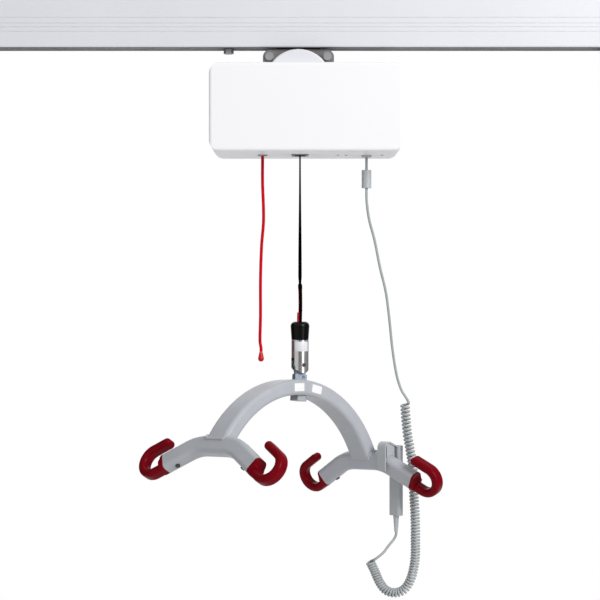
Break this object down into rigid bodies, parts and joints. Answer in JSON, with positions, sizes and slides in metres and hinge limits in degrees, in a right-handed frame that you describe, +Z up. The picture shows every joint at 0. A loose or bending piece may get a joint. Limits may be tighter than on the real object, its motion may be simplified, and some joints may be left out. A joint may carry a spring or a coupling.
{
  "type": "ceiling track hoist",
  "caption": "Overhead rail with a trolley-hung lifting unit, webbing strap, swivel coupling, arched spreader bar with sling hooks, pull cord and a handset on a curly cable.",
  "frame": {"origin": "centre of the rail's flat top face, straight above the lifting strap", "axes": "+X along the rail to the right as pictured, +Y away from the viewer, +Z up"},
  "size_m": [1.308, 0.5937, 1.1971],
  "materials": {
    "rail_metal": "satin anodised",
    "end_plastic": "matte",
    "steel": "satin",
    "dark_steel": "blackened",
    "zinc": "blue zinc plated",
    "cast": "cast, painted grey",
    "nylon": "matte",
    "rubber": "satin",
    "casing_white": "fine satin",
    "dome_white": "semi gloss",
    "drum_metal": "turned",
    "gear_metal": "machined",
    "motor_metal": "satin",
    "battery": "matte",
    "board": "satin",
    "lamp": "gloss",
    "strap": "woven",
    "red_cord": "braided",
    "red_knob": "gloss",
    "bar_paint": "powder coat",
    "hook_red": "satin",
    "handset_grey": "fine texture",
    "button_grey": "matte",
    "cable_grey": "satin",
    "bearing_brass": "machined"
  },
  "bodies": {
    "track": {"rail": "rail_metal", "rail_end_caps": "end_plastic", "end_stops": "dark_steel", "stop_buffers": "rubber", "stop_bolts": "steel"},
    "hoist": {"trolley_body": "dark_steel", "wheel_axles": "steel", "yoke": "cast", "yoke_bolts": "steel", "chassis_plates": "cast", "chassis_rods": "dark_steel", "front_cover": "casing_white", "rear_cover": "casing_white", "dome_cover": "dome_white", "cover_screws": "steel", "drum_bearings": "steel", "gearbox": "drum_metal", "motor": "motor_metal", "battery_packs": "battery", "control_board": "board", "strap_guide": "button_grey", "cord_eyelet": "end_plastic", "cable_socket": "handset_grey", "indicator_lights": "lamp", "lifting_strap": "strap", "cable_run": "cable_grey", "cable_sleeve": "handset_grey"},
    "left_wheels": {"left_wheels": "nylon"},
    "right_wheels": {"right_wheels": "nylon"},
    "drum": {"strap_drum": "drum_metal", "drum_strap": "strap", "drum_gear": "gear_metal", "drum_shaft": "steel"},
    "pinion": {"drive_pinion": "gear_metal"},
    "pull_cord": {"emergency_cord": "red_cord", "cord_knob": "red_knob"},
    "brake_lever": {"brake_lever": "hook_red"},
    "coupling": {"strap_cap": "rubber", "strap_pin": "steel", "coupling_spindle": "steel", "thrust_bearing": "steel"},
    "swivel": {"swivel_housing": "steel", "fork_pin": "dark_steel"},
    "tilt_ball": {"tilt_ball": "bearing_brass"},
    "bar": {"bar_lug": "zinc", "lug_nut": "steel", "arch_tube": "bar_paint", "left_crossbar": "bar_paint", "right_crossbar": "bar_paint", "left_hooks": "hook_red", "right_hooks": "hook_red", "hook_screws": "dark_steel", "coil_cord": "cable_grey", "cable_tail": "cable_grey"},
    "handset": {"handset_back": "handset_grey", "handset_front": "handset_grey", "handset_board": "board", "strain_relief": "handset_grey"},
    "up_button": {"up_button": "button_grey"},
    "down_button": {"down_button": "button_grey"}
  },
  "joints": [
    {"name": "travel", "type": "slide", "parent": "track", "child": "hoist", "axis": [1, 0, 0], "range_m": [-0.05, 0.5]},
    {"name": "left_wheels_roll", "type": "hinge", "parent": "hoist", "child": "left_wheels", "pos_m": [-0.037, 0, -0.0887], "axis": [0, 1, 0], "continuous": true},
    {"name": "right_wheels_roll", "type": "hinge", "parent": "hoist", "child": "right_wheels", "pos_m": [0.031, 0, -0.0887], "axis": [0, 1, 0], "continuous": true},
    {"name": "drum_spin", "type": "hinge", "parent": "hoist", "child": "drum", "pos_m": [0.0415, 0, -0.225], "axis": [0, 1, 0], "continuous": true},
    {"name": "pinion_spin", "type": "hinge", "parent": "hoist", "child": "pinion", "pos_m": [0.0965, 0, -0.225], "axis": [0, 1, 0], "continuous": true},
    {"name": "cord_pull", "type": "slide", "parent": "hoist", "child": "pull_cord", "axis": [0, 0, -1], "range_m": [0, 0.012], "stiffness_N_per_m": 600},
    {"name": "brake_release", "type": "hinge", "parent": "hoist", "child": "brake_lever", "pos_m": [-0.033, 0, -0.286], "axis": [0, -1, 0], "range_deg": [0, 16]},
    {"name": "lift", "type": "slide", "parent": "hoist", "child": "coupling", "axis": [0, 0, 1], "range_m": [-1.7, 0.2], "deforming": ["lifting_strap", "cable_run", "coil_cord", "cable_tail"]},
    {"name": "swivel", "type": "hinge", "parent": "coupling", "child": "swivel", "pos_m": [0, 0, -0.69], "axis": [0, 0, 1], "range_deg": [-90, 90]},
    {"name": "tilt_side", "type": "hinge", "parent": "swivel", "child": "tilt_ball", "pos_m": [0.0006, 0, -0.7249], "axis": [-0.4384, 0.8988, 0], "range_deg": [-26, 13]},
    {"name": "tilt_fore", "type": "hinge", "parent": "tilt_ball", "child": "bar", "pos_m": [0.0006, 0, -0.7249], "axis": [0.8935, 0.4358, -0.108], "range_deg": [-3, 12.5]},
    {"name": "handset_lift", "type": "slide", "parent": "bar", "child": "handset", "axis": [0, 0, 1], "range_m": [0, 0.06], "deforming": ["cable_tail"]},
    {"name": "up_press", "type": "slide", "parent": "handset", "child": "up_button", "axis": [-0.673, -0.7396, 0], "range_m": [0, 0.0012], "stiffness_N_per_m": 900},
    {"name": "down_press", "type": "slide", "parent": "handset", "child": "down_button", "axis": [-0.673, -0.7396, 0], "range_m": [0, 0.0012], "stiffness_N_per_m": 900}
  ],
  "couplings": [
    {"joint": "left_wheels_roll", "follows": "travel", "rad_per_m": 62.5},
    {"joint": "right_wheels_roll", "follows": "travel", "rad_per_m": 62.5},
    {"joint": "drum_spin", "follows": "lift", "rad_per_m": 24.096},
    {"joint": "pinion_spin", "follows": "lift", "rad_per_m": -93.173},
    {"joint": "brake_release", "follows": "cord_pull", "rad_per_m": 22}
  ]
}
